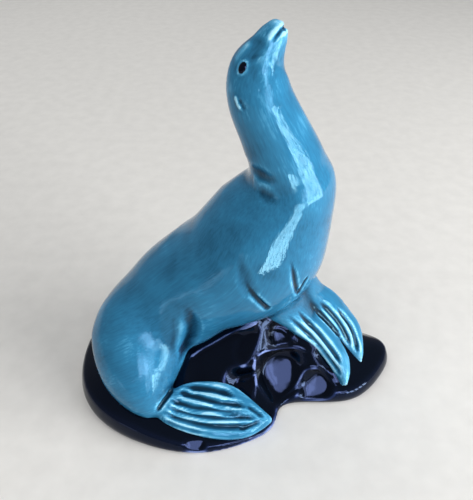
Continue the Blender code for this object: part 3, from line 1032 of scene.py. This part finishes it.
def midnight_glaze(name):
    """A near black glaze that turns blue where near_hollow says that the skin is an edge."""
    material, tree = new_material(name)
    place_on = add_node(tree, "ShaderNodeTexCoord")
    near = add_node(tree, "ShaderNodeAttribute", attribute_name="near_hollow")
    # Edges and ridges turn a paler blue: partly the colour of thin glaze, and partly a painted highlight.
    thin_glaze_and_painted_highlight = add_node(tree, "ShaderNodeMapRange", {
        "Value": near.outputs["Fac"], "From Min": -0.28, "From Max": 0.12, "To Min": 1.0, "To Max": 0.0,
    })
    colour = add_node(tree, "ShaderNodeValToRGB", {"Fac": thin_glaze_and_painted_highlight.outputs[0]})
    colour_stops(colour, [(0.0, "#02040a"), (0.35, "#040810"), (0.7, "#0a1122"), (0.82, "#26335a"),
                          (1.0, "#7a8cc0")])
    waves = add_node(tree, "ShaderNodeTexNoise", {
        "Vector": place_on.outputs["Object"], "Scale": cells(ROCK_WAVE_SIZE), "Detail": 1.0,
        "Roughness": 0.4,
    })
    bump = add_node(tree, "ShaderNodeBump", {
        "Height": waves.outputs["Fac"], "Strength": 0.6, "Distance": mm(0.25),
    })
    glaze = add_node(tree, "ShaderNodeBsdfPrincipled", {
        "Base Color": colour.outputs["Color"], "Roughness": 0.09, "IOR": 1.45,
        "Specular IOR Level": 0.35, "Specular Tint": linear("#b0c4ff"), "Normal": bump.outputs["Normal"],
    })
    add_node(tree, "ShaderNodeOutputMaterial", {"Surface": glaze.outputs[0]})
    return material


def bare_clay():
    """Fired white earthenware without glaze: matt, warm white and grainy."""
    material, tree = new_material("bare_fired_earthenware")
    place_on = add_node(tree, "ShaderNodeTexCoord")
    grit = add_node(tree, "ShaderNodeTexNoise", {
        "Vector": place_on.outputs["Object"], "Scale": cells(GRIT_SIZE), "Detail": 2.0,
    })
    colour = add_node(tree, "ShaderNodeValToRGB", {"Fac": grit.outputs["Fac"]})
    colour_stops(colour, [(0.3, "#cfc5b4"), (0.7, "#e6dfd1")])
    bump = add_node(tree, "ShaderNodeBump", {
        "Height": grit.outputs["Fac"], "Strength": 0.4, "Distance": mm(0.2),
    })
    clay = add_node(tree, "ShaderNodeBsdfPrincipled", {
        "Base Color": colour.outputs["Color"], "Roughness": 0.85, "Normal": bump.outputs["Normal"],
    })
    add_node(tree, "ShaderNodeOutputMaterial", {"Surface": clay.outputs[0]})
    return material


MIDNIGHT_GLAZE = midnight_glaze("midnight_glazed_earthenware")
EYE_GLAZE = midnight_glaze("black_painted_eye_under_clear_gloss")
BARE_CLAY = bare_clay()

# %% [markdown]
# ## Put the glazes on
# A potter pours each glaze over the fired piece and wipes its foot. Here the hollow tree marks each skin and
# gives it its glaze as a material, and the flat faces underneath get the bare clay.

# %% Put the glazes on
FOOT_LEVEL = 0.3
FACING_DOWN = -0.9

for piece, glaze, near_rounds in ((animal, TEAL_GLAZE, 5), (rock, MIDNIGHT_GLAZE, 6)):
    use_tree(piece, HOLLOWS, near_rounds=near_rounds, material=glaze)
    plain_mesh(piece)
    for polygon in piece.data.polygons:
        polygon.use_smooth = True
    for label in ("near_hollow", "far_hollow"):
        values = np.empty(len(piece.data.vertices))
        piece.data.attributes[label].data.foreach_get("value", values)
        print(piece.name, label, "mm:", np.percentile(values, (1, 5, 25, 50, 75, 95, 99)).round(3))
rock.data.materials.append(BARE_CLAY)
for polygon in rock.data.polygons:
    if polygon.normal.z < FACING_DOWN and polygon.center.z < mm(FOOT_LEVEL):
        polygon.material_index = len(rock.data.materials) - 1
eyes.data.materials.append(EYE_GLAZE)
print("glazed:", len(animal.data.polygons), "and", len(rock.data.polygons), "faces")

# %% [markdown]
# ## Floor, light and background
# A plain pale floor and soft light, as in a small studio. The world gives an even grey light. The three soft
# lamps light the surfaces and show in no reflection. The windows and the wall are the reverse: only the gloss
# sees them, and each is placed so that its highlight falls where the photograph has one. The chest's strip
# stands 30 mm away, nearer than a real lamp could stand unseen, because its highlight has to stay narrow all
# down the curved chest.

# %% Floor
FLOOR_HALF = 2
# Real paper grain is far finer. The noise has 400 cells along the floor's 4 metres, so each is 10 mm wide.
GRAIN_CELLS = 400.0

floor_mesh = bpy.data.meshes.new("studio_floor")
corners = [(x * FLOOR_HALF, y * FLOOR_HALF, 0) for x, y in ((-1, -1), (1, -1), (1, 1), (-1, 1))]
floor_mesh.from_pydata(corners, [], [(0, 1, 2, 3)])
floor = new_object("studio_floor", floor_mesh)
floor_material, tree = new_material("pale_studio_paper")
grain = add_node(tree, "ShaderNodeTexNoise", {"Scale": GRAIN_CELLS, "Detail": 2.0})
paper = add_node(tree, "ShaderNodeValToRGB", {"Fac": grain.outputs["Fac"]})
colour_stops(paper, [(0.3, "#dcdad6"), (0.7, "#e2e0dc")])
sheet = add_node(tree, "ShaderNodeBsdfPrincipled", {"Base Color": paper.outputs["Color"], "Roughness": 0.9})
add_node(tree, "ShaderNodeOutputMaterial", {"Surface": sheet.outputs[0]})
floor.data.materials.append(floor_material)

# %% World and soft boxes
WORLD_LEVEL = 0.3
world = bpy.data.worlds.new("studio")
bpy.context.scene.world = world
world.use_nodes = True
world.node_tree.nodes.clear()
sky = add_node(world.node_tree, "ShaderNodeBackground", {"Color": linear("#f4f6f8"), "Strength": WORLD_LEVEL})
add_node(world.node_tree, "ShaderNodeOutputWorld", {"Surface": sky.outputs[0]})

PANE_SHARE = 0.62


def soft_box(name, target, azimuth, elevation, distance, width, height, brightness, hex_colour, roll=0,
             glossy=True, diffuse=True):
    """A rectangular lamp that faces a target. Its place, distance and sizes are in millimetres, and its
    azimuth is 0 towards the camera and 90 to the camera's right."""
    out = direction(azimuth, elevation)
    lamp = bpy.data.lights.new(name, "AREA")
    lamp.shape = "RECTANGLE"
    lamp.size = mm(width)
    lamp.size_y = mm(height)
    lamp.energy = brightness * math.pi * lamp.size * lamp.size_y
    lamp.color = linear(hex_colour)[:3]
    box = new_object(name, lamp)
    box.location = place(target) + out * mm(distance)
    rolled = Matrix.Rotation(math.radians(roll), 3, "Z")
    box.rotation_euler = (out.to_track_quat("Z", "Y").to_matrix() @ rolled).to_euler()
    box.visible_camera = False
    box.visible_glossy = glossy
    box.visible_diffuse = diffuse


def paned_window(name, panes, target, azimuth, elevation, distance, width, height, brightness, hex_colour,
                 roll=0):
    """A window of upright panes that only the gloss sees, so that narrow dark bars run along its reflection."""
    step = math.degrees(width / distance) / panes
    for k in range(panes):
        soft_box(f"{name}_{k + 1}", target, azimuth + (k - (panes - 1) / 2) * step, elevation, distance,
                 PANE_SHARE * width / panes, height, brightness, hex_colour, roll, diffuse=False)


paned_window("side_window", 5, (22, -6, 122), 53, -3.5, 500, 360, 148, 19.0, "#ecfcff", roll=6)
paned_window("chest_strip", 4, (24, -13, 92.5), 0, -8, 30, 19, 38, 19.0, "#ecfcff", roll=-24)
paned_window("haunch_window", 5, (-36, -26, 35), 34, 20, 600, 260, 300, 8.0, "#dfe9ff")
soft_box("haunch_wall", (-25, -15, 57), -43, -8, 500, 130, 110, 2.2, "#dfe9ff", diffuse=False)
soft_box("dish_window", (20, -16, 16), 12, 32, 600, 260, 160, 9.0, "#d8e2ff", diffuse=False)
soft_box("soft_key", (10, 0, 80), 69, 14, 900, 900, 500, 10.0, "#ffffff", glossy=False)
soft_box("soft_fill", HALF_WAY_UP, -40, 60, 900, 900, 700, 1.8, "#ffffff", glossy=False)
soft_box("soft_back", HALF_WAY_UP, 205, 35, 900, 900, 600, 0.9, "#ffffff", glossy=False)

bpy.context.scene.view_settings.view_transform = "Standard"

# %% [markdown]
# ## Ride on the model's body
# Both glazed pieces and the eyes stand for the one cast piece of the model, and ride on its body.

# %% Ride and replace
for piece, slot in ((animal, "blue_glaze"), (rock, "dark_glaze"), (eyes, "dark_glaze")):
    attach(piece, "root")
    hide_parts(FIGURINE)
